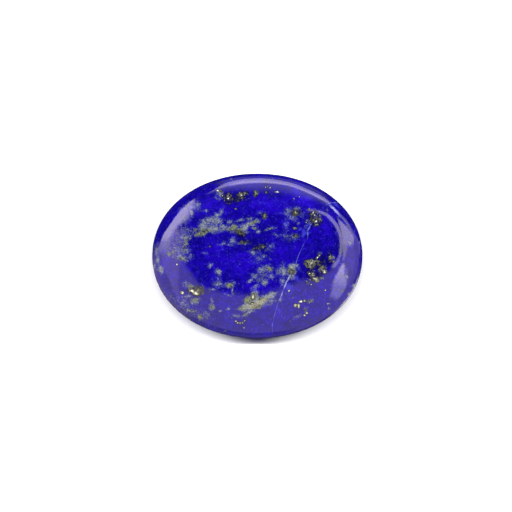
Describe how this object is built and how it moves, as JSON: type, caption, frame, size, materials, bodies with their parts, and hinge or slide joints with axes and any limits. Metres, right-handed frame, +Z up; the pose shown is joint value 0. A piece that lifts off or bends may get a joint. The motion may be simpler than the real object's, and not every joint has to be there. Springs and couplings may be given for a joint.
{
  "type": "polished lapis lazuli cabochon",
  "caption": "Oval domed cabochon of polished deep-blue lapis lazuli with pyrite flecks and pale calcite clouds, lying on its flat back.",
  "frame": {"origin": "centre of the flat polished back, on which the stone lies", "axes": "+X along the oval's long axis, +Y along its short axis, +Z up out of the back through the dome's crown"},
  "size_m": [0.018, 0.0142, 0.0048],
  "materials": {
    "lapis_lazuli": "polished"
  },
  "bodies": {
    "root": {"lapis_cabochon": "lapis_lazuli"}
  },
  "joints": []
}
